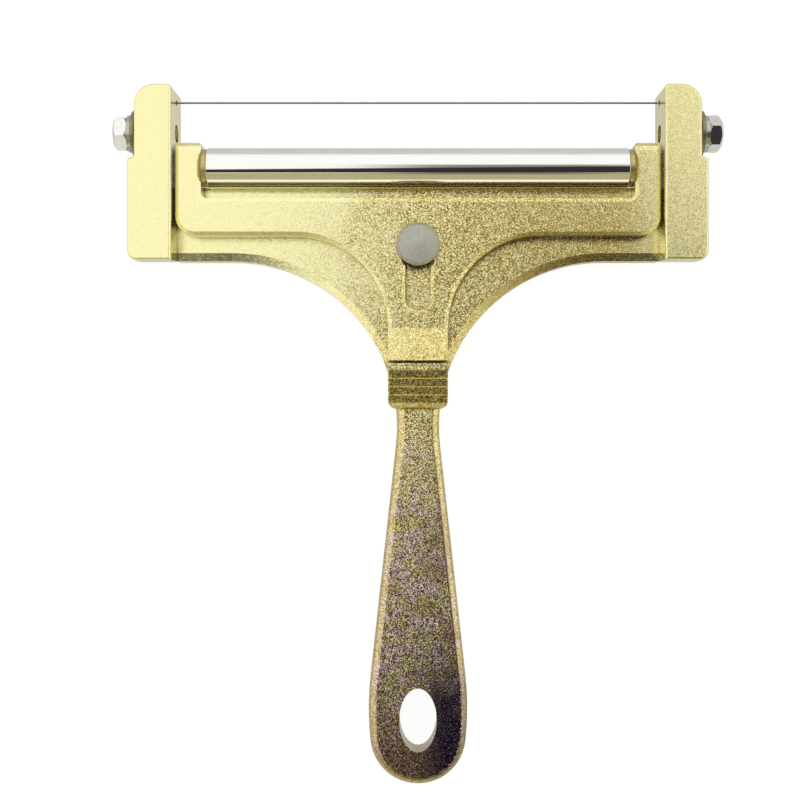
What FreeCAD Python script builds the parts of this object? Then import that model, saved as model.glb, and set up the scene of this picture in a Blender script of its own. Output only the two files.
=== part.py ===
import FreeCAD, Part
import math
import os
import Sketcher
from FreeCAD import Placement, Rotation, Vector

# Adjustable roller cheese slicer, lying on its flat back.
# X runs across the wire, Y from the handle's end to the wire, Z up from the flat back.
# The origin is below the middle of the whole tool. All sizes are in millimetres.

# A gentle slope: the upright part of its outward direction lies between these two.
STEEP = 0.8
LEVEL = 0.99

SIZES = {
    # frame casting: flat web, handle and two posts
    "web_depth": 5.5,
    "web_top": 62.6,
    "web_low": 44.2,
    "web_end": 66.0,
    "handle_depth": 8.0,
    "shoulder_y": 18.5,
    "flare_x": 46.9,
    "flare_bend": 41.6,
    "neck_x": 5.55,
    "neck_y": 1.96,
    "swell_x": 11.95,
    "swell_y": 60.0,
    "swell_bend": 75.0,
    "tail_y": 76.4,
    "tail_bend": 12.02,
    "hang_y": 70.9,
    "hang_half_wide": 4.7,
    "hang_half_long": 7.95,
    "hang_edge": 0.7,
    "post_depth": 14.0,
    "post_inner": 60.65,
    "post_outer": 71.4,
    "post_seat": 69.8,
    "post_low": 43.6,
    "post_step": 69.2,
    "post_top": 86.9,
    "post_shoulder": 5.0,
    "post_foot": 2.3,
    "post_nose": 1.0,
    "post_draft": 0.9,
    "post_back": 2.4,
    "seat_slope": 0.8,
    "post_edge": 0.6,
    "web_edge": 0.6,
    "web_slope": 2.0,
    "handle_edge": 2.0,
    "back_edge": 0.6,
    # boss that guides the slider, and its screw
    "boss_y": 47.7,
    "boss_half": 3.0,
    "boss_low": 43.5,
    "boss_high": 51.9,
    "boss_top": 11.9,
    "guide_hole": 2.0,
    "guide_shank": 1.98,
    "guide_head": 5.3,
    "guide_rim": 1.3,
    "guide_crown": 0.5,
    "guide_round": 0.7,
    "guide_end": 0.6,
    "driver_half": 0.4,
    "driver_deep": 1.0,
    "spring_outer": 5.1,
    "spring_inner": 4.35,
    "spring_sheet": 0.3,
    "spring_gap": 0.05,
    # slider casting
    "slider_back": 5.65,
    "slider_front": 11.2,
    "ear_back": 4.0,
    "ear_inner": 53.8,
    "ear_outer": 60.15,
    "ear_top": 73.2,
    "ear_heel": 62.9,
    "ear_round": 2.2,
    "ear_heel_round": 1.2,
    "ear_nose": 1.0,
    "ear_shoulder": 2.0,
    "bar_top": 59.2,
    "bar_corner": 1.5,
    "bar_low": 50.0,
    "bar_foot": 5.0,
    "sweep_x": 30.4,
    "sweep_bend": 23.0,
    "stem_half": 7.4,
    "stem_y": 27.0,
    "slot_half": 3.175,
    "slot_low": 31.3,
    "slot_high": 52.2,
    "slot_bevel": 0.8,
    "slot_edge": 0.38,
    "slider_bevel": 0.9,
    "slider_edge": 0.38,
    "ramp_low_y": 19.0,
    "ramp_front": 13.3,
    "ramp_round": 18.3,
    "pad_back": 8.3,
    "pad_shelf": 12.3,
    "pad_front": 13.3,
    "pad_low_y": 6.95,
    "pad_chin": 10.4,
    "pad_slope": 0.8,
    "pad_round": 2.2,
    "block_half": 7.05,
    "block_high": 17.6,
    "block_low": 7.35,
    "block_nose": 1.3,
    "block_foot": 1.9,
    "ridge_count": 5,
    "ridge_pitch": 2.05,
    "ridge_start": 16.45,
    "ridge_step": 0.35,
    "ridge_drop": 0.5,
    "ridge_clear": 1.0,
    # roller
    "roller_y": 67.0,
    "roller_height": 8.5,
    "roller_half": 52.5,
    "roller_outer": 5.0,
    "roller_bore": 4.0,
    "roller_edge": 0.4,
    "bush_body": 3.96,
    "bush_depth": 6.0,
    "bush_flange": 4.7,
    "bush_proud": 1.0,
    "bush_bore": 1.54,
    "axle_hole": 1.52,
    "axle_half": 60.0,
    "axle_thick": 1.5,
    "axle_edge": 0.25,
    # wire and its clamps
    "wire_y": 83.8,
    "wire_height": 6.3,
    "wire_thick": 0.25,
    "wire_bend": 0.8,
    "wire_hole": 0.75,
    "loop_bend": 2.85,
    "loop_turn": 290.0,
    "clamp_y": 76.0,
    "clamp_hole": 2.25,
    "clamp_shank": 2.2,
    "clamp_end": 0.4,
    "flat_washer_outer": 5.75,
    "flat_washer_inner": 2.65,
    "flat_washer_sheet": 1.0,
    "flat_washer_edge": 0.15,
    "lock_washer_outer": 4.6,
    "lock_washer_inner": 2.55,
    "lock_washer_sheet": 1.2,
    "lock_split_half": 0.35,
    "lock_split_lean": 1.2,
    "clamp_reach": 10.8,
    "hex_half": 4.0,
    "hex_rise": 2.3094,
    "hex_point": 4.6188,
    "hex_corner": 4.7,
    "hex_cone_base": 3.4,
    "hex_clear": 6.0,
    "hex_depth": 3.5,
    "hex_cone": 1.0,
    "hex_seat": 3.95,
    "hex_turn": 15.0,
}

LEFT, RIGHT = -1, 1

doc = FreeCAD.newDocument("cheese_slicer")


def make_sheet():
    sheet = doc.addObject("Spreadsheet::Sheet", "Sizes")
    for row, (name, value) in enumerate(SIZES.items(), start=1):
        sheet.set(f"A{row}", name)
        sheet.set(f"B{row}", str(value))
        sheet.setAlias(f"B{row}", name)
    doc.recompute()
    return sheet


sheet = make_sheet()


def amount(text):
    """The value of a sum of sizes, such as 'roller_outer - roller_edge'."""
    total = 0.0
    sign = 1
    for word in text.split():
        if word in ("+", "-"):
            sign = 1 if word == "+" else -1
        else:
            total += sign * (0.0 if word == "0" else sheet.get(word))
    return total


def formula(text):
    """The same sum as an expression that names the sheet's cells."""
    words = [word if word in ("+", "-", "0") else f"Sizes.{word}" for word in text.split()]
    return " ".join(words)


def negated(text):
    """The sum with every sign turned."""
    words = text.split()
    if words[0] not in ("+", "-"):
        words.insert(0, "+")
    turned = {"+": "-", "-": "+"}
    return " ".join(turned.get(word, word) for word in words)


def bind(item, prop, text):
    item.setExpression(prop, formula(text))


def origin_plane(body, role):
    return next(plane for plane in body.Origin.OriginFeatures if plane.Role == role)


def new_body(label):
    body = doc.addObject("PartDesign::Body", label)
    body.Label = label
    return body


def new_sketch(body, name, role="XY_Plane", height=None):
    sketch = body.newObject("Sketcher::SketchObject", name)
    sketch.AttachmentSupport = (origin_plane(body, role), [""])
    sketch.MapMode = "FlatFace"
    if height:
        bind(sketch, "AttachmentOffset.Base.z", height)
    return sketch


def pin(sketch, geometry, point, text, kind, axis):
    """Fixes one coordinate of a sketch point to a size."""
    if text == "0":
        sketch.addConstraint(Sketcher.Constraint("PointOnObject", geometry, point, axis))
        return
    rule = Sketcher.Constraint(kind, -1, 1, geometry, point, amount(text))
    index = sketch.addConstraint(rule)
    bind(sketch, f"Constraints[{index}]", text)


def arc_between(start, end, bend, turn):
    """The shorter arc from start to end; turn is 1 when it bends to the left and -1 to the right."""
    chord = end - start
    aside = Vector(-chord.y, chord.x, 0).normalize()
    rise = math.sqrt(max(bend * bend - chord.Length * chord.Length / 4, 0))
    centre = (start + end) * 0.5 + aside * (turn * rise)
    first, last = (start, end) if turn > 0 else (end, start)
    angles = [math.atan2(p.y - centre.y, p.x - centre.x) for p in (first, last)]
    return Part.ArcOfCircle(Part.Circle(centre, Vector(0, 0, 1), bend), *angles)


def draw(sketch, corners):
    """Draws a closed outline. A corner is (x, y), or (x, y, bend, turn) when an arc leaves it."""
    points = [Vector(amount(corner[0]), amount(corner[1]), 0) for corner in corners]
    first = sketch.GeometryCount
    ends = []
    for index, corner in enumerate(corners):
        start = points[index]
        end = points[(index + 1) % len(points)]
        if len(corner) == 4:
            bend, turn = corner[2:]
            geometry = sketch.addGeometry(arc_between(start, end, amount(bend), turn))
            radius = sketch.addConstraint(Sketcher.Constraint("Radius", geometry, amount(bend)))
            bind(sketch, f"Constraints[{radius}]", bend)
            ends.append((1, 2) if turn > 0 else (2, 1))
        else:
            sketch.addGeometry(Part.LineSegment(start, end))
            ends.append((1, 2))
    for index, corner in enumerate(corners):
        before = index - 1 if index else len(corners) - 1
        join = (first + before, ends[before][1], first + index, ends[index][0])
        sketch.addConstraint(Sketcher.Constraint("Coincident", *join))
        pin(sketch, first + index, ends[index][0], corner[0], "DistanceX", -2)
        pin(sketch, first + index, ends[index][0], corner[1], "DistanceY", -1)


def mirrored(corners):
    """The other side of a right-hand outline, in the order that closes a loop with it."""
    other = []
    for index in range(len(corners) - 1, -1, -1):
        x, y = corners[index][:2]
        arc = corners[index - 1][2:] if index else ()
        other.append((negated(x), y, *arc))
    return other


def both_sides(corners):
    return corners + mirrored(corners)


def circle(sketch, x, y, radius):
    centre = Vector(amount(x), amount(y), 0)
    geometry = sketch.addGeometry(Part.Circle(centre, Vector(0, 0, 1), amount(radius)))
    pin(sketch, geometry, 3, x, "DistanceX", -2)
    pin(sketch, geometry, 3, y, "DistanceY", -1)
    index = sketch.addConstraint(Sketcher.Constraint("Radius", geometry, amount(radius)))
    bind(sketch, f"Constraints[{index}]", radius)


def pad(body, name, sketch, length, midplane=False):
    feature = body.newObject("PartDesign::Pad", name)
    feature.Profile = sketch
    feature.Length = amount(length)
    bind(feature, "Length", length)
    feature.Midplane = midplane
    doc.recompute()
    return feature


def pocket(body, name, sketch, length=None, reverse=False, midplane=False):
    """Cuts a sketch out of a body, right through where no length is given."""
    before = body.Shape.Volume
    feature = body.newObject("PartDesign::Pocket", name)
    feature.Profile = sketch
    feature.Reversed = reverse
    feature.Midplane = midplane
    if length:
        feature.Length = amount(length)
        bind(feature, "Length", length)
    else:
        feature.Type = 1
    doc.recompute()
    if body.Shape.Volume >= before:
        raise RuntimeError(f"{name} cuts nothing")
    return feature


def edges_where(shape, test):
    """Names of the edges whose middle point passes the test."""
    names = []
    for number, edge in enumerate(shape.Edges, start=1):
        if edge.Length < 1e-6:
            continue
        middle = edge.valueAt((edge.FirstParameter + edge.LastParameter) / 2)
        if test(edge, middle):
            names.append(f"Edge{number}")
    return names


def slope_area(shape):
    """Area of the faces that lean gently away from level."""
    area = 0.0
    for face in shape.Faces:
        u_low, u_high, v_low, v_high = face.ParameterRange
        normal = face.normalAt((u_low + u_high) / 2, (v_low + v_high) / 2)
        if STEEP < normal.z < LEVEL:
            area += face.Area
    return area


def bevel(body, name, across, down, test):
    """Bevels a front rim: a wide, shallow slope that takes more off the face than off the wall."""
    base = body.Tip
    feature = body.newObject("PartDesign::Chamfer", name)
    feature.Base = (base, edges_where(base.Shape, test))
    feature.ChamferType = "Two distances"
    feature.Size = amount(across)
    feature.Size2 = amount(down)
    slopes = {}
    for flipped in (False, True):
        feature.FlipDirection = flipped
        doc.recompute()
        sound = feature.isValid() and not feature.Shape.isNull()
        slopes[flipped] = slope_area(feature.Shape) if sound else 0.0
    feature.FlipDirection = slopes[True] > slopes[False]
    bind(feature, "Size", across)
    bind(feature, "Size2", down)
    doc.recompute()
    if not feature.isValid() or feature.Shape.isNull():
        raise RuntimeError(f"{name} failed")


def soften(body, name, kind, size, test):
    """Rounds (Fillet) or bevels (Chamfer) the edges that pass the test."""
    base = body.Tip
    names = edges_where(base.Shape, test)
    feature = body.newObject(f"PartDesign::{kind}", name)
    feature.Base = (base, names)
    prop = "Radius" if kind == "Fillet" else "Size"
    setattr(feature, prop, amount(size))
    bind(feature, prop, size)
    doc.recompute()
    if not feature.isValid() or feature.Shape.isNull():
        raise RuntimeError(f"{name} failed on {names}")
    return feature


def level(height, slack=0.01):
    """An edge test: the whole edge lies at one height."""
    return lambda edge: (
        abs(edge.BoundBox.ZMin - height) < slack and abs(edge.BoundBox.ZMax - height) < slack
    )


def turned(label, profile):
    """A turned piece: a profile of (radius, place along the axis) about the local Z axis."""
    body = new_body(label)
    sketch = new_sketch(body, f"{label}_profile", "XZ_Plane")
    draw(sketch, profile)
    feature = body.newObject("PartDesign::Revolution", f"{label}_turned")
    feature.Profile = sketch
    feature.ReferenceAxis = (sketch, ["V_Axis"])
    feature.Angle = 360
    doc.recompute()
    return body


def along_x(side, x, y, z):
    """A placement that turns local Z to point away from the middle, on the left or the right."""
    turn = Rotation(Vector(0, 1, 0), 90 * side)
    return Placement(Vector(side * x, y, z), turn)


def frame_plate(body):
    """Web and handle as one plate, the web then cut down to its own depth."""
    sketch = new_sketch(body, "plate_outline")
    draw(sketch, both_sides([
        ("web_end", "web_top"),
        ("web_end", "web_low"),
        ("flare_x", "web_low", "flare_bend", 1),
        ("neck_x", "- neck_y"),
        ("swell_x", "- swell_y", "swell_bend", -1),
        ("swell_x", "- tail_y", "tail_bend", -1),
    ]))
    pad(body, "plate", sketch, "handle_depth")
    relief = new_sketch(body, "web_relief", height="handle_depth")
    draw(relief, both_sides([("post_outer", "post_top"), ("post_outer", "shoulder_y")]))
    pocket(body, "web_face", relief, "handle_depth - web_depth")


def frame_edges(body):
    """Rounded front edges of the handle and of the web's lower rim."""
    handle_front = level(SIZES["handle_depth"])
    web_front = level(SIZES["web_depth"])
    soften(body, "handle_rim", "Fillet", "handle_edge",
           lambda edge, middle: handle_front(edge) and middle.y < SIZES["shoulder_y"] - 0.1)
    for side, name in ((1, "web_rim_right"), (-1, "web_rim_left")):
        bevel(body, name, "web_slope", "web_edge",
              lambda edge, middle: web_front(edge) and side * middle.x > 0
              and SIZES["shoulder_y"] + 0.1 < middle.y < SIZES["web_low"] + 0.1)


def frame_posts(body):
    """Two posts, each with a lowered seat for the clamp washers on its outer side."""
    sketch = new_sketch(body, "post_outlines")
    right = [
        ("post_inner", "post_low"),
        ("post_outer - post_foot", "post_low", "post_foot", 1),
        ("post_outer", "post_low + post_foot"),
        ("post_outer", "post_step - seat_slope"),
        ("post_seat", "post_step"),
        ("post_seat", "post_top - post_shoulder", "post_shoulder", 1),
        ("post_seat - post_shoulder", "post_top"),
        ("post_inner + post_nose", "post_top", "post_nose", 1),
        ("post_inner", "post_top - post_nose"),
    ]
    draw(sketch, right)
    draw(sketch, mirrored(right))
    pad(body, "posts", sketch, "post_depth")
    post_front = level(SIZES["post_depth"])
    soften(body, "post_rim", "Fillet", "post_edge", lambda edge, middle: post_front(edge))
    back = level(0)
    soften(body, "back_rim", "Fillet", "back_edge", lambda edge, middle: back(edge))
    for name, start in (("right", "post_inner"), ("left", "- post_outer")):
        foot = new_sketch(body, f"{name}_foot_side", "YZ_Plane", start)
        draw(foot, [
            ("post_low", "post_depth - post_edge"),
            ("post_low - post_draft", "post_depth - post_edge"),
            ("post_low - post_draft", "0"),
            ("post_low + post_draft", "0"),
        ])
        pocket(body, f"{name}_foot_draft", foot, "post_outer - post_inner", reverse=True)
    crown = new_sketch(body, "post_crown_side", "YZ_Plane")
    draw(crown, [
        ("post_top - post_back", "0", "post_back", 1),
        ("post_top", "post_back"),
        ("post_top + post_back", "post_back"),
        ("post_top + post_back", "- post_back"),
        ("post_top - post_back", "- post_back"),
    ])
    pocket(body, "post_crown", crown, midplane=True)


def obround(low, high, half):
    """An upright slot outline, from low to high, with round ends."""
    return [
        ("0", high, half, -1),
        (half, f"{high} - {half}"),
        (half, f"{low} + {half}", half, -1),
        ("0", low, half, -1),
        (f"- {half}", f"{low} + {half}"),
        (f"- {half}", f"{high} - {half}", half, -1),
    ]


def frame_boss(body):
    """The long boss that guides the slider's slot."""
    sketch = new_sketch(body, "boss_outline")
    draw(sketch, obround("boss_low", "boss_high", "boss_half"))
    pad(body, "boss", sketch, "boss_top")


def frame_holes(body):
    """Hang hole, guide screw bore, wire holes and threaded clamp holes."""
    sketch = new_sketch(body, "hang_outline")
    centre = Vector(0, -amount("hang_y"), 0)
    tip = centre + Vector(0, amount("hang_half_long"), 0)
    flank = centre + Vector(amount("hang_half_wide"), 0, 0)
    oval = sketch.addGeometry(Part.Ellipse(tip, flank, centre))
    pin(sketch, oval, 3, "0", "DistanceX", -2)
    pin(sketch, oval, 3, "- hang_y", "DistanceY", -1)
    pocket(body, "hang_hole", sketch, midplane=True)
    bore = new_sketch(body, "guide_bore")
    circle(bore, "0", "boss_y", "guide_hole")
    pocket(body, "guide_hole_cut", bore, midplane=True)
    for name, y, radius in (("wire", "wire_y", "wire_hole"), ("clamp", "clamp_y", "clamp_hole")):
        side = new_sketch(body, f"{name}_side", "YZ_Plane")
        circle(side, y, "wire_height", radius)
        pocket(body, f"{name}_holes", side, midplane=True)


def make_frame():
    body = new_body("frame")
    frame_plate(body)
    frame_edges(body)
    frame_posts(body)
    frame_boss(body)
    frame_holes(body)
    rims = (0, SIZES["handle_depth"])
    soften(body, "hang_rim", "Chamfer", "hang_edge",
           lambda edge, middle: any(level(rim)(edge) for rim in rims)
           and abs(middle.y + SIZES["hang_y"]) < SIZES["hang_half_long"] + 0.1
           and "Ellipse" in type(edge.Curve).__name__)
    return body


def slider_plate(body):
    """Crossbar, ears, sweeping arms and stem in one outline, thinned behind to clear the web."""
    sketch = new_sketch(body, "slider_outline", height="ear_back")
    draw(sketch, both_sides([
        ("ear_inner - bar_corner", "bar_top", "bar_corner", 1),
        ("ear_inner", "bar_top + bar_corner"),
        ("ear_inner", "ear_top - ear_nose", "ear_nose", -1),
        ("ear_inner + ear_nose", "ear_top"),
        ("ear_outer - ear_shoulder", "ear_top", "ear_shoulder", -1),
        ("ear_outer", "ear_top - ear_shoulder"),
        ("ear_outer", "bar_low + bar_foot", "bar_foot", -1),
        ("ear_outer - bar_foot", "bar_low"),
        ("sweep_x", "bar_low", "sweep_bend", 1),
        ("stem_half", "stem_y"),
        ("stem_half", "ramp_low_y"),
    ]))
    pad(body, "slider_block", sketch, "slider_front - ear_back")
    relief = new_sketch(body, "slider_relief", height="slider_back")
    draw(relief, both_sides([("post_outer", "ear_heel"), ("post_outer", "pad_low_y")]))
    pocket(body, "slider_underside", relief, "slider_back - ear_back")


def ridge_corners():
    """The thumb pad's ridges from the ramp down, each a short step up and a long slope down."""
    corners = []
    for index in range(int(SIZES["ridge_count"])):
        crest = "ridge_start" + " - ridge_pitch" * index
        corners.append((f"{crest} + ridge_step", "pad_front - ridge_drop"))
        corners.append((crest, "pad_front"))
    return corners


def slider_pad(body):
    """Ramp down to a shelf, both in one side profile, and a round-cornered ridged block on the shelf."""
    side = new_sketch(body, "pad_profile", "YZ_Plane")
    draw(side, [
        ("stem_y", "slider_back"),
        ("ramp_low_y", "slider_back"),
        ("ramp_low_y", "pad_back"),
        ("pad_low_y", "pad_back"),
        ("pad_low_y", "pad_chin"),
        ("pad_low_y + pad_slope", "pad_shelf"),
        ("ramp_round", "pad_shelf"),
        ("ramp_low_y", "ramp_front"),
        ("stem_y", "slider_front"),
    ])
    pad(body, "thumb_ramp", side, "stem_half + stem_half", midplane=True)
    corner = [
        ("stem_half - pad_round", "pad_low_y", "pad_round", 1),
        ("stem_half", "pad_low_y + pad_round"),
        ("stem_half + ridge_clear", "pad_low_y + pad_round"),
        ("stem_half + ridge_clear", "pad_low_y - ridge_clear"),
        ("stem_half - pad_round", "pad_low_y - ridge_clear"),
    ]
    corners = new_sketch(body, "pad_corners_outline")
    draw(corners, corner)
    draw(corners, mirrored(corner))
    pocket(body, "pad_corners", corners, midplane=True)
    block = new_sketch(body, "block_outline", height="pad_shelf")
    draw(block, both_sides([
        ("block_half - block_nose", "block_high", "block_nose", -1),
        ("block_half", "block_high - block_nose"),
        ("block_half", "block_low + block_foot", "block_foot", -1),
        ("block_half - block_foot", "block_low"),
    ]))
    pad(body, "thumb_block", block, "pad_front - pad_shelf")
    teeth = new_sketch(body, "ridge_profile", "YZ_Plane")
    draw(teeth, [
        ("block_high + ridge_clear", "pad_front + ridge_clear"),
        ("block_high + ridge_clear", "ramp_front"),
        ("block_high", "pad_front - ridge_drop"),
        *ridge_corners(),
        ("block_low", "pad_shelf"),
        ("block_low - ridge_clear", "pad_shelf"),
        ("block_low - ridge_clear", "pad_front + ridge_clear"),
    ])
    pocket(body, "ridges", teeth, midplane=True)


def slider_openings(body):
    """The bevelled slot that runs on the boss, and the axle holes through the ears."""
    sketch = new_sketch(body, "slot_outline")
    draw(sketch, obround("slot_low", "slot_high", "slot_half"))
    pocket(body, "slot", sketch, midplane=True)
    front = level(SIZES["slider_front"])
    bevel(body, "slot_lip", "slot_bevel", "slot_edge",
          lambda edge, middle: front(edge) and abs(middle.x) < SIZES["slot_half"] + 0.01
          and SIZES["slot_low"] - 0.01 < middle.y < SIZES["slot_high"] + 0.01)
    side = new_sketch(body, "axle_side", "YZ_Plane")
    circle(side, "roller_y", "roller_height", "axle_hole")
    pocket(body, "axle_holes", side, midplane=True)


def slider_edges(body):
    """A softened rim round the whole front face, and round tops on the ears."""
    front = level(SIZES["slider_front"])
    bevel(body, "front_rim", "slider_bevel", "slider_edge",
          lambda edge, middle: front(edge) and abs(middle.x) > SIZES["slot_half"] + 1.0)
    side = new_sketch(body, "ear_side", "YZ_Plane")
    draw(side, [
        ("ear_top - ear_round", "slider_front", "ear_round", -1),
        ("ear_top", "slider_front - ear_round"),
        ("ear_top", "ear_back + ear_heel_round", "ear_heel_round", -1),
        ("ear_top - ear_heel_round", "ear_back"),
        ("ear_top - ear_heel_round", "0"),
        ("ear_top + ear_round", "0"),
        ("ear_top + ear_round", "slider_front + ear_round"),
        ("ear_top - ear_round", "slider_front + ear_round"),
    ])
    pocket(body, "ear_domes", side, midplane=True)


def make_slider():
    body = new_body("slider")
    slider_plate(body)
    slider_edges(body)
    slider_pad(body)
    slider_openings(body)
    return body


def make_roller():
    """Steel tube with a flanged bush in each end, all turning on one axle."""
    tube = turned("roller_tube", [
        ("roller_bore", "- roller_half"),
        ("roller_outer - roller_edge", "- roller_half"),
        ("roller_outer", "- roller_half + roller_edge"),
        ("roller_outer", "roller_half - roller_edge"),
        ("roller_outer - roller_edge", "roller_half"),
        ("roller_bore", "roller_half"),
    ])
    axle = turned("roller_axle", [
        ("0", "- axle_half"),
        ("axle_thick - axle_edge", "- axle_half"),
        ("axle_thick", "- axle_half + axle_edge"),
        ("axle_thick", "axle_half - axle_edge"),
        ("axle_thick - axle_edge", "axle_half"),
        ("0", "axle_half"),
    ])
    for body in (tube, axle):
        place(body, along_x(RIGHT, 0, amount("roller_y"), amount("roller_height")))
    bushes = []
    for name, side in (("left", LEFT), ("right", RIGHT)):
        bush = turned(f"roller_bush_{name}", [
            ("bush_bore", "- bush_depth"),
            ("bush_body", "- bush_depth"),
            ("bush_body", "0"),
            ("bush_flange", "0"),
            ("bush_flange", "bush_proud"),
            ("bush_bore", "bush_proud"),
        ])
        spot = along_x(side, amount("roller_half"), amount("roller_y"), amount("roller_height"))
        place(bush, spot)
        bushes.append(bush)
    return [tube, *bushes, axle]


def place(item, spot):
    item.Placement = spot
    doc.recompute()


def make_guide():
    """Round-headed guide screw, with a driver slot in its far end, and its conical spring washer."""
    screw = turned("guide_screw", [
        ("0", "guide_end"),
        ("guide_shank", "guide_end"),
        ("guide_shank", "boss_top"),
        ("guide_head", "boss_top"),
        ("guide_head", "boss_top + guide_rim - guide_round"),
        ("guide_head - guide_round", "boss_top + guide_rim"),
        ("0", "boss_top + guide_rim + guide_crown"),
    ])
    sketch = new_sketch(screw, "driver_outline", height="guide_end")
    draw(sketch, both_sides([
        ("driver_half", "guide_head"),
        ("driver_half", "- guide_head"),
    ]))
    pocket(screw, "driver_slot", sketch, "driver_deep", reverse=True)
    spring = turned("guide_spring_washer", [
        ("spring_outer", "slider_front + spring_gap"),
        ("spring_outer", "slider_front + spring_gap + spring_sheet"),
        ("spring_inner", "boss_top - spring_gap"),
        ("spring_inner", "boss_top - spring_gap - spring_sheet"),
    ])
    for body in (screw, spring):
        place(body, Placement(Vector(0, amount("boss_y"), 0), Rotation()))
    return [screw, spring]


def make_clamp(name, side):
    """Hex screw with a split lock washer and a flat washer, which press the wire's loop home."""
    flat = turned(f"flat_washer_{name}", [
        ("flat_washer_inner", "0"),
        ("flat_washer_outer - flat_washer_edge", "0"),
        ("flat_washer_outer", "flat_washer_edge"),
        ("flat_washer_outer", "flat_washer_sheet - flat_washer_edge"),
        ("flat_washer_outer - flat_washer_edge", "flat_washer_sheet"),
        ("flat_washer_inner", "flat_washer_sheet"),
    ])
    lock = turned(f"lock_washer_{name}", [
        ("lock_washer_inner", "0"),
        ("lock_washer_outer", "0"),
        ("lock_washer_outer", "lock_washer_sheet"),
        ("lock_washer_inner", "lock_washer_sheet"),
    ])
    split = new_sketch(lock, f"split_{name}")
    draw(split, [
        ("lock_split_half", "0"),
        ("lock_split_half + lock_split_lean", "lock_washer_outer + lock_split_half"),
        ("lock_split_lean - lock_split_half", "lock_washer_outer + lock_split_half"),
        ("- lock_split_half", "0"),
    ])
    pocket(lock, f"split_cut_{name}", split, midplane=True)
    screw = turned(f"clamp_screw_{name}", [
        ("0", "- clamp_reach"),
        ("clamp_shank - clamp_end", "- clamp_reach"),
        ("clamp_shank", "- clamp_reach + clamp_end"),
        ("clamp_shank", "0"),
        ("hex_seat", "0"),
        ("hex_corner", "hex_corner - hex_seat"),
        ("hex_corner", "hex_depth - hex_cone"),
        ("hex_cone_base", "hex_depth"),
        ("0", "hex_depth"),
    ])
    flats = new_sketch(screw, f"flats_{name}")
    draw(flats, both_sides([
        ("hex_clear", "hex_clear"),
        ("hex_clear", "- hex_clear"),
    ]))
    hexagon = [
        ("hex_half", "- hex_rise"),
        ("hex_half", "hex_rise"),
        ("0", "hex_point"),
        ("- hex_half", "hex_rise"),
        ("- hex_half", "- hex_rise"),
        ("0", "- hex_point"),
    ]
    draw(flats, hexagon)
    pocket(screw, f"flats_cut_{name}", flats, "hex_depth", reverse=True)
    y = amount("clamp_y")
    height = amount("wire_height")
    base = amount("post_seat + wire_thick + wire_thick")
    place(flat, along_x(side, base, y, height))
    place(lock, along_x(side, base + amount("flat_washer_sheet"), y, height))
    seat = base + amount("flat_washer_sheet + lock_washer_sheet")
    twist = Placement(Vector(), Rotation(Vector(0, 0, 1), amount("hex_turn")))
    place(screw, along_x(side, seat, y, height).multiply(twist))
    return [flat, lock, screw]


def wire_end(side):
    """Centre line of one end: over the post's edge, down its side and round the clamp screw, the
    way that tightening turns it."""
    reach = amount("post_seat + wire_thick")
    bend = amount("wire_bend")
    loop = amount("loop_bend")
    wire_y, height, clamp_y = (amount(name) for name in ("wire_y", "wire_height", "clamp_y"))
    fall = wire_y - bend - clamp_y
    lean = math.asin(loop / fall)
    down = Vector(0, -math.cos(lean), side * math.sin(lean))
    corner = Vector(side * (reach - bend), wire_y, height)
    hub = corner + down * bend
    halfway = hub + (Vector(side, 0, 0) - down) * (bend / math.sqrt(2))
    turn_end = hub + Vector(side * bend, 0, 0)
    centre = Vector(side * reach, clamp_y, height)
    fall_line = centre - turn_end
    touch = turn_end + down * fall_line.dot(down)
    spoke = touch - centre
    turns = [Rotation(Vector(1, 0, 0), side * angle)
             for angle in (amount("loop_turn") / 2, amount("loop_turn"))]
    loop_middle, loop_end = (centre + turn.multVec(spoke) for turn in turns)
    return corner, [
        Part.Arc(corner, halfway, turn_end).toShape(),
        Part.LineSegment(turn_end, touch).toShape(),
        Part.Arc(touch, loop_middle, loop_end).toShape(),
    ]


def make_wire():
    """One length of wire, strained between the posts, looped round both clamp screws."""
    left_corner, left_edges = wire_end(LEFT)
    right_corner, right_edges = wire_end(RIGHT)
    span = Part.LineSegment(left_corner, right_corner).toShape()
    path = Part.Wire(Part.__sortEdges__([*left_edges, span, *right_edges]))
    start = path.OrderedVertexes[0].Point
    heading = path.OrderedEdges[0].tangentAt(path.OrderedEdges[0].FirstParameter)
    ring = Part.Wire(Part.Circle(start, heading, amount("wire_thick")).toShape())
    wire = doc.addObject("Part::Feature", "cutting_wire")
    wire.Label = "cutting_wire"
    wire.Shape = path.makePipeShell([ring], True, False)
    area = math.pi * amount("wire_thick") ** 2
    if abs(wire.Shape.Volume / (area * path.Length) - 1) > 0.02:
        raise RuntimeError(f"cutting_wire has a wrong volume, {wire.Shape.Volume}")
    return wire


def check(parts):
    for item in doc.Objects:
        if {"Invalid", "Error"} & set(item.State):
            raise RuntimeError(f"{item.Name} did not compute")
    for item in parts:
        if item.Shape.isNull() or not item.Shape.isValid() or len(item.Shape.Solids) != 1:
            raise RuntimeError(f"{item.Label} is not one sound solid")


def main():
    parts = [make_frame(), make_slider(), *make_roller(), *make_guide(), make_wire()]
    for name, side in (("left", LEFT), ("right", RIGHT)):
        parts += make_clamp(name, side)
    doc.recompute()
    check(parts)
    os.makedirs("parts", exist_ok=True)
    for item in parts:
        item.Shape.exportStep(f"parts/{item.Label}.step")
        box = item.Shape.BoundBox
        print(item.Label, round(item.Shape.Volume, 1), box)


main()
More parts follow.
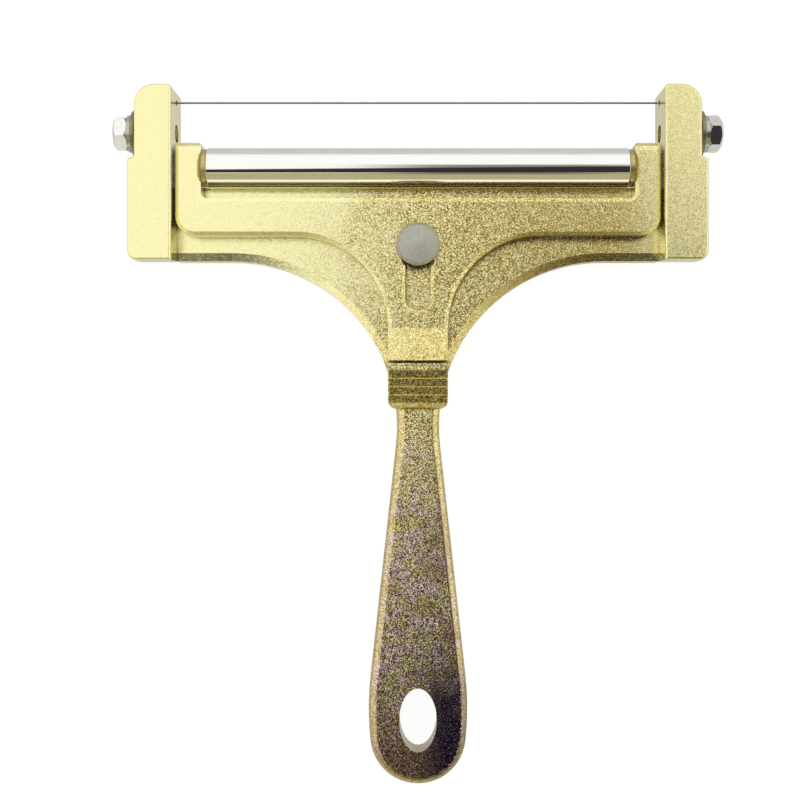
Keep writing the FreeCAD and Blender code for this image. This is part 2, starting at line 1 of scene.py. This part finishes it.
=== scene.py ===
import bpy
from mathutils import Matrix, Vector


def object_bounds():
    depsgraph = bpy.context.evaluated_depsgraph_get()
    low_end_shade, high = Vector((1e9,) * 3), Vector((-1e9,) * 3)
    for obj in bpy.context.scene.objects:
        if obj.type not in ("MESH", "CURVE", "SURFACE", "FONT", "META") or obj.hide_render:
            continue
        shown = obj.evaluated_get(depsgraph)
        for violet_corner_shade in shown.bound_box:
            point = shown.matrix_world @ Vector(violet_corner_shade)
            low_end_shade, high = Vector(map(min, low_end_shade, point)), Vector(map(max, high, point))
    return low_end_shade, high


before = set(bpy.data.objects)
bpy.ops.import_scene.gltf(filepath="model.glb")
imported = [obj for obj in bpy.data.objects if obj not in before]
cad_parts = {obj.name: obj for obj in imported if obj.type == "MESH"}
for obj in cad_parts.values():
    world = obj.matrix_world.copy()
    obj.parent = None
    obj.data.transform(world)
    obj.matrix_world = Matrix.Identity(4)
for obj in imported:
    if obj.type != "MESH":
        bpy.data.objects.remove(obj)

# Adjustable roller cheese slicer, lying on its back on a white table, seen from straight above.

MM = 0.001
CAD_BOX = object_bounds()

# ---- camera ----
CAMERA_HEIGHT = 315 * MM  # above the front of the posts
CAMERA_LENS = 57.8  # mm, on a 36 mm sensor
CAMERA_SHIFT = -0.0225
CAMERA_AHEAD = 9.2 * MM  # the camera stands a little nearer the wire than the middle


def make_camera():
    front = CAD_BOX[1].z
    data = bpy.data.cameras.new("camera")
    data.lens = CAMERA_LENS
    data.sensor_width = 36
    data.shift_x = CAMERA_SHIFT
    data.clip_start = 0.01
    data.clip_end = 20
    camera = bpy.data.objects.new("camera", data)
    camera.location = (0, CAMERA_AHEAD, front + CAMERA_HEIGHT)
    bpy.context.scene.collection.objects.link(camera)
    bpy.context.scene.camera = camera


# ---- node helpers ----
class Nodes:
    """A material's node tree, with short calls for the nodes used here."""

    def __init__(self, tree):
        self.tree = tree
        tree.nodes.clear()

    def add(self, kind, **settings):
        node = self.tree.nodes.new(kind)
        for name, value in settings.items():
            setattr(node, name, value)
        return node

    def link(self, source, target):
        self.tree.links.new(source, target)

    def feed(self, socket, value):
        if isinstance(value, bpy.types.NodeSocket):
            self.link(value, socket)
        else:
            socket.default_value = value

    def math(self, operation, first, second=0.0, clamp=False):
        node = self.add("ShaderNodeMath", operation=operation, use_clamp=clamp)
        self.feed(node.inputs[0], first)
        self.feed(node.inputs[1], second)
        return node.outputs[0]

    def span(self, value, low_end_shade, high, to_low=0.0, to_high=1.0, smooth=True):
        """Maps a range of the value onto another range, held at its ends."""
        kind = "SMOOTHSTEP" if smooth else "LINEAR"
        node = self.add("ShaderNodeMapRange", interpolation_type=kind)
        for socket, amount in zip(node.inputs, (value, low_end_shade, high, to_low, to_high)):
            self.feed(socket, amount)
        return node.outputs[0]

    def mix(self, factor, first, second):
        node = self.add("ShaderNodeMix", data_type="RGBA")
        self.feed(node.inputs[0], factor)
        self.feed(node.inputs[6], first)
        self.feed(node.inputs[7], second)
        return node.outputs[2]

    def noise(self, place, size, detail=2.0, roughness=0.5):
        """Noise whose features are about `size` metres across."""
        node = self.add("ShaderNodeTexNoise")
        self.link(place, node.inputs["Vector"])
        node.inputs["Scale"].default_value = 1 / size
        node.inputs["Detail"].default_value = detail
        node.inputs["Roughness"].default_value = roughness
        return node.outputs["Fac"]

    def cells(self, place, size):
        """A random value for each cell about `size` metres across."""
        node = self.add("ShaderNodeTexVoronoi")
        self.link(place, node.inputs["Vector"])
        node.inputs["Scale"].default_value = 1 / size
        return node.outputs

    def bump(self, height, distance, strength=1.0, normal=None):
        node = self.add("ShaderNodeBump")
        self.link(height, node.inputs["Height"])
        node.inputs["Distance"].default_value = distance
        node.inputs["Strength"].default_value = strength
        if normal:
            self.link(normal, node.inputs["Normal"])
        return node.outputs["Normal"]


def rgb(red, green, blue):
    return (red, green, blue, 1.0)


def new_material(name):
    material = bpy.data.materials.new(name)
    material.use_nodes = True
    nodes = Nodes(material.node_tree)
    shader = nodes.add("ShaderNodeBsdfPrincipled")
    output = nodes.add("ShaderNodeOutputMaterial")
    nodes.link(shader.outputs[0], output.inputs[0])
    place = nodes.add("ShaderNodeTexCoord").outputs["Object"]
    return material, nodes, shader, place


# ---- materials ----
GOLD = rgb(0.88, 0.83, 0.45)
GOLD_DEEP = rgb(0.44, 0.30, 0.04)
CORNER_SHADE = rgb(0.10, 0.055, 0.03)
MAUVE = rgb(0.76, 0.59, 0.51)
UMBER = rgb(0.33, 0.21, 0.13)
OLIVE = rgb(0.68, 0.62, 0.25)
VIOLET_SHADE = rgb(0.05, 0.028, 0.075)
FACET_TILT = 0.13
CAST_BUMP = 0.009 * MM
FACET_SIZE = 0.21 * MM
CORNER_SHADE_REACH = 1.6 * MM  # how far the painted shade spreads from an inner corner
DRAWN = (0.02, 1, 1)  # marks drawn out along X


def cast_gold(name, tarnish_and_shade):
    """Yellow-chromated casting whose skin is a mass of tiny facets, with painted shade in its inner corners.
    When asked, it turns mauve, brown and violet towards the handle's end: partly the chromate film's own
    tint, partly painted shade standing in for the dark reflection there."""
    material, nodes, shader, place = new_material(name)
    split = nodes.add("ShaderNodeSeparateXYZ")
    nodes.link(place, split.inputs[0])
    across, along = split.outputs[:2]
    surface = nodes.add("ShaderNodeNewGeometry").outputs["Normal"]
    facing = nodes.add("ShaderNodeSeparateXYZ")
    nodes.link(surface, facing.inputs[0])
    flat = nodes.span(facing.outputs[2], 0.90, 0.99)
    soft = nodes.noise(place, 9 * MM, detail=2)
    drift = nodes.math("MULTIPLY", nodes.math("SUBTRACT", soft, 0.5), 0.04)
    # Darker tone and stronger speckle towards +X and towards the handle, paler on the post at +X: partly
    # wear, partly painted shade and light laid on by position.
    shade_and_wear_across = nodes.span(nodes.math("ADD", across, drift), -0.034, 0.012)
    pale_post_light_and_wear = nodes.span(across, 0.046, 0.060, 0.0, 0.62)
    wear_and_shade = nodes.math("MAXIMUM", shade_and_wear_across, nodes.span(along, 0.045, 0.005))
    wear_and_shade = nodes.math("SUBTRACT", wear_and_shade, pale_post_light_and_wear, clamp=True)
    facets = nodes.cells(place, FACET_SIZE)
    facet = nodes.add("ShaderNodeSeparateColor")
    nodes.link(facets["Color"], facet.inputs[0])
    shade = facet.outputs[0]
    fine = nodes.noise(place, 0.22 * MM, detail=1)
    deep = nodes.math("MULTIPLY", nodes.span(shade, 0.12, 0.82), nodes.span(wear_and_shade, 0.0, 1.0, 0.06, 1.0))
    colour = nodes.mix(deep, GOLD, GOLD_DEEP)
    # Towards the handle's end: the chromate film's own olive, mauve and brown tint, mixed with painted shade
    # for the dark reflection falling there.
    if tarnish_and_shade:
        patch = nodes.noise(place, 4 * MM, detail=4, roughness=0.6)
        place_down = nodes.math("ADD", along, drift)
        down = nodes.span(place_down, 0.012, -0.030)
        film_and_shade = nodes.mix(nodes.span(patch, 0.38, 0.58), OLIVE, MAUVE)
        film_and_shade = nodes.mix(nodes.span(soft, 0.50, 0.84), film_and_shade, UMBER)
        film_and_shade = nodes.mix(nodes.span(shade, 0.35, 0.80), film_and_shade, UMBER)
        # Painted shade: darker umber at the handle's far end.
        low_end_shade = nodes.span(place_down, -0.062, -0.080)
        film_and_shade = nodes.mix(nodes.math("MULTIPLY", low_end_shade, 0.75), film_and_shade, UMBER)
        # Painted shade: a near-black violet patch at the handle's lower corner.
        violet_corner_shade = nodes.math("MULTIPLY", nodes.span(across, -0.002, 0.007),
                            nodes.span(place_down, -0.046, -0.070))
        violet_and_shade = nodes.mix(nodes.span(shade, 0.80, 0.95), VIOLET_SHADE, MAUVE)
        film_and_shade = nodes.mix(violet_corner_shade, film_and_shade, violet_and_shade)
        skin = nodes.math("MULTIPLY", down, nodes.span(flat, 0.0, 1.0, 0.6, 1.0))
        colour = nodes.mix(skin, colour, film_and_shade)
    # Painted shade: ambient occlusion darkens inner corners, gaps between parts and edges near the table,
    # more on curved faces than on flat ones.
    corners = nodes.add("ShaderNodeAmbientOcclusion", samples=6)
    corners.inputs["Distance"].default_value = CORNER_SHADE_REACH
    corner_shade_mask = nodes.span(corners.outputs["AO"], 0.72, 0.38)
    corner_shade_mask = nodes.math("MULTIPLY", corner_shade_mask, nodes.span(flat, 0.0, 1.0, 0.92, 0.45))
    colour = nodes.mix(corner_shade_mask, colour, CORNER_SHADE)
    nodes.link(colour, shader.inputs["Base Color"])
    shader.inputs["Metallic"].default_value = 1.0
    nodes.link(nodes.span(fine, 0.3, 0.7, 0.14, 0.24), shader.inputs["Roughness"])
    tilt = nodes.add("ShaderNodeVectorMath", operation="SUBTRACT")
    nodes.link(facets["Color"], tilt.inputs[0])
    tilt.inputs[1].default_value = (0.5, 0.5, 0.5)
    scaled = nodes.add("ShaderNodeVectorMath", operation="SCALE")
    nodes.link(tilt.outputs[0], scaled.inputs[0])
    nodes.feed(scaled.inputs["Scale"], nodes.span(wear_and_shade, 0.0, 1.0, FACET_TILT * 0.55, FACET_TILT))
    turned = nodes.add("ShaderNodeVectorMath", operation="ADD")
    nodes.link(surface, turned.inputs[0])
    nodes.link(scaled.outputs[0], turned.inputs[1])
    straight = nodes.add("ShaderNodeVectorMath", operation="NORMALIZE")
    nodes.link(turned.outputs[0], straight.inputs[0])
    nodes.link(nodes.bump(fine, CAST_BUMP, 1.0, straight.outputs[0]), shader.inputs["Normal"])
    return material


def steel(name, colour, roughness, grain_size, bump, stretch=(1, 1, 1), depth=0.28):
    """Plain or plated steel with fine marks; stretch draws the marks out along an axis."""
    material, nodes, shader, place = new_material(name)
    scale = nodes.add("ShaderNodeVectorMath", operation="MULTIPLY")
    nodes.link(place, scale.inputs[0])
    scale.inputs[1].default_value = stretch
    marks = nodes.noise(scale.outputs[0], grain_size, detail=4, roughness=0.6)
    darker = rgb(*(channel * (1 - depth) for channel in colour[:3]))
    nodes.link(nodes.mix(nodes.span(marks, 0.35, 0.75), colour, darker), shader.inputs["Base Color"])
    shader.inputs["Metallic"].default_value = 1.0
    nodes.link(nodes.span(marks, 0.3, 0.7, roughness * 0.85, roughness * 1.2), shader.inputs["Roughness"])
    nodes.link(nodes.bump(marks, bump, 0.6), shader.inputs["Normal"])
    return material


def make_materials():
    return {
        "frame": cast_gold("cast_gold_frame", True),
        "slider": cast_gold("cast_gold_slider", False),
        "roller": steel("polished_roller", rgb(0.86, 0.85, 0.82), 0.05, 0.35 * MM, 0.0008 * MM,
                        stretch=DRAWN, depth=0.08),
        "bright": steel("bright_steel", rgb(0.84, 0.83, 0.80), 0.10, 0.8 * MM, 0.003 * MM, depth=0.12),
        "disc": steel("satin_disc", rgb(0.50, 0.50, 0.43), 0.50, 0.35 * MM, 0.02 * MM),
        "washer": steel("dull_washer", rgb(0.27, 0.26, 0.15), 0.30, 0.3 * MM, 0.02 * MM),
        "spring": steel("spring_steel", rgb(0.50, 0.49, 0.44), 0.22, 0.3 * MM, 0.01 * MM),
        "wire": steel("wire_steel", rgb(0.34, 0.30, 0.26), 0.28, 0.2 * MM, 0.004 * MM, stretch=(0.1, 1, 1)),
        "brass": steel("bush_brass", rgb(0.55, 0.46, 0.22), 0.30, 0.4 * MM, 0.01 * MM),
    }


NODE_FINISH = {
    "frame": "frame",
    "slider": "slider",
    "roller_tube": "roller",
    "roller_bush_left": "brass",
    "roller_bush_right": "brass",
    "roller_axle": "bright",
    "guide_screw": "disc",
    "guide_spring_washer": "spring",
    "cutting_wire": "wire",
}
for side in ("left", "right"):
    NODE_FINISH[f"clamp_screw_{side}"] = "bright"
    NODE_FINISH[f"lock_washer_{side}"] = "spring"
    NODE_FINISH[f"flat_washer_{side}"] = "washer"


def dress_nodes(materials):
    for name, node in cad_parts.items():
        node.data.materials.clear()
        node.data.materials.append(materials[NODE_FINISH[name]])


# ---- stage and light ----
FLOOR_HALF = 1.5
FLOOR_GREY = rgb(0.14, 0.14, 0.14)
FLOOR_GLOW = (0.58, 0.92)  # in reflections and light, and as the camera sees it


def make_floor():
    mesh = bpy.data.meshes.new("floor")
    corners = [(-FLOOR_HALF, -FLOOR_HALF, 0), (FLOOR_HALF, -FLOOR_HALF, 0),
               (FLOOR_HALF, FLOOR_HALF, 0), (-FLOOR_HALF, FLOOR_HALF, 0)]
    mesh.from_pydata(corners, [], [(0, 1, 2, 3)])
    floor = bpy.data.objects.new("floor", mesh)
    bpy.context.scene.collection.objects.link(floor)
    material, nodes, shader, place = new_material("floor_white")
    shader.inputs["Base Color"].default_value = FLOOR_GREY
    shader.inputs["Roughness"].default_value = 0.9
    shader.inputs["Specular IOR Level"].default_value = 0.0
    shader.inputs["Emission Color"].default_value = rgb(1, 1, 1)
    seen = nodes.add("ShaderNodeLightPath").outputs["Is Camera Ray"]
    nodes.feed(shader.inputs["Emission Strength"], nodes.span(seen, 0.0, 1.0, *FLOOR_GLOW, smooth=False))
    mesh.materials.append(material)


# The room above the table, as the castings and the roller mirror it: pale, with a dim body and camera on
# the handle's side. The camera itself sees plain white in its place. Places are on a plane one unit above
# the table, seen from the middle.
BODY_X = (-0.30, 0.42)
BODY_TOP = -0.12
BODY_LEAN = 1.0  # the body's near edge leans, so it looms larger on the right
BODY_END = -0.66
BODY_SOFT = 0.06
CAMERA_X = ((-0.075, 0.03), (0.25, 0.12))
CAMERA_Y = (0.30, 0.10)
CAMERA_DIM = 0.80
ROOM_BRIGHT = 1.16
HORIZON_WARM = rgb(0.46, 0.41, 0.21)
ROOM_PALE = rgb(1.0, 1.0, 0.985)
WALL_DIM = rgb(0.62, 0.61, 0.58)
CAMERA_DARK = rgb(0.06, 0.05, 0.05)
BODY_DARK = rgb(0.035, 0.028, 0.03)
WHITE = rgb(1.0, 1.0, 1.0)


def make_world():
    world = bpy.data.worlds.new("studio")
    bpy.context.scene.world = world
    world.use_nodes = True
    nodes = Nodes(world.node_tree)
    direction = nodes.add("ShaderNodeTexCoord").outputs["Generated"]
    split = nodes.add("ShaderNodeSeparateXYZ")
    nodes.link(direction, split.inputs[0])
    height = nodes.math("MAXIMUM", split.outputs[2], 0.02)
    across = nodes.math("DIVIDE", split.outputs[0], height)
    along = nodes.math("DIVIDE", split.outputs[1], height)
    sides = nodes.math("MULTIPLY", nodes.span(across, BODY_X[0] - BODY_SOFT, BODY_X[0] + BODY_SOFT),
                       nodes.span(across, BODY_X[1] + BODY_SOFT, BODY_X[1] - BODY_SOFT))
    lean = nodes.math("MULTIPLY", nodes.span(across, -0.18, 0.18, -0.18, 0.18, smooth=False), BODY_LEAN)
    near = nodes.math("SUBTRACT", along, lean)
    ends = nodes.math("MULTIPLY", nodes.span(along, BODY_END - 0.02, BODY_END + 0.02),
                      nodes.span(near, BODY_TOP + BODY_SOFT, BODY_TOP - BODY_SOFT))
    body = nodes.math("MULTIPLY", sides, ends)
    spot = nodes.math("MULTIPLY", nodes.span(across, *CAMERA_X[0]), nodes.span(across, *CAMERA_X[1]))
    spot = nodes.math("MULTIPLY", spot, nodes.span(along, *CAMERA_Y))
    spot = nodes.math("MULTIPLY", spot, nodes.span(along, -1.2, BODY_END))
    spot = nodes.math("MULTIPLY", spot, CAMERA_DIM)
    warm = nodes.math("MULTIPLY", nodes.span(along, BODY_END, BODY_END - 0.1),
                      nodes.span(split.outputs[2], 0.10, 0.30))
    colour = nodes.mix(warm, ROOM_PALE, HORIZON_WARM)
    back_wall = nodes.math("MULTIPLY", nodes.span(split.outputs[1], 0.4, 0.8), nodes.span(height, 0.45, 0.05))
    colour = nodes.mix(back_wall, colour, WALL_DIM)
    colour = nodes.mix(spot, colour, CAMERA_DARK)
    colour = nodes.mix(body, colour, BODY_DARK)
    seen = nodes.add("ShaderNodeLightPath").outputs["Is Camera Ray"]
    colour = nodes.mix(seen, colour, WHITE)
    background = nodes.add("ShaderNodeBackground")
    nodes.link(colour, background.inputs[0])
    background.inputs[1].default_value = ROOM_BRIGHT
    output = nodes.add("ShaderNodeOutputWorld")
    nodes.link(background.outputs[0], output.inputs[0])


make_camera()
make_floor()
make_world()
dress_nodes(make_materials())
bpy.context.scene.view_settings.view_transform = "Standard"
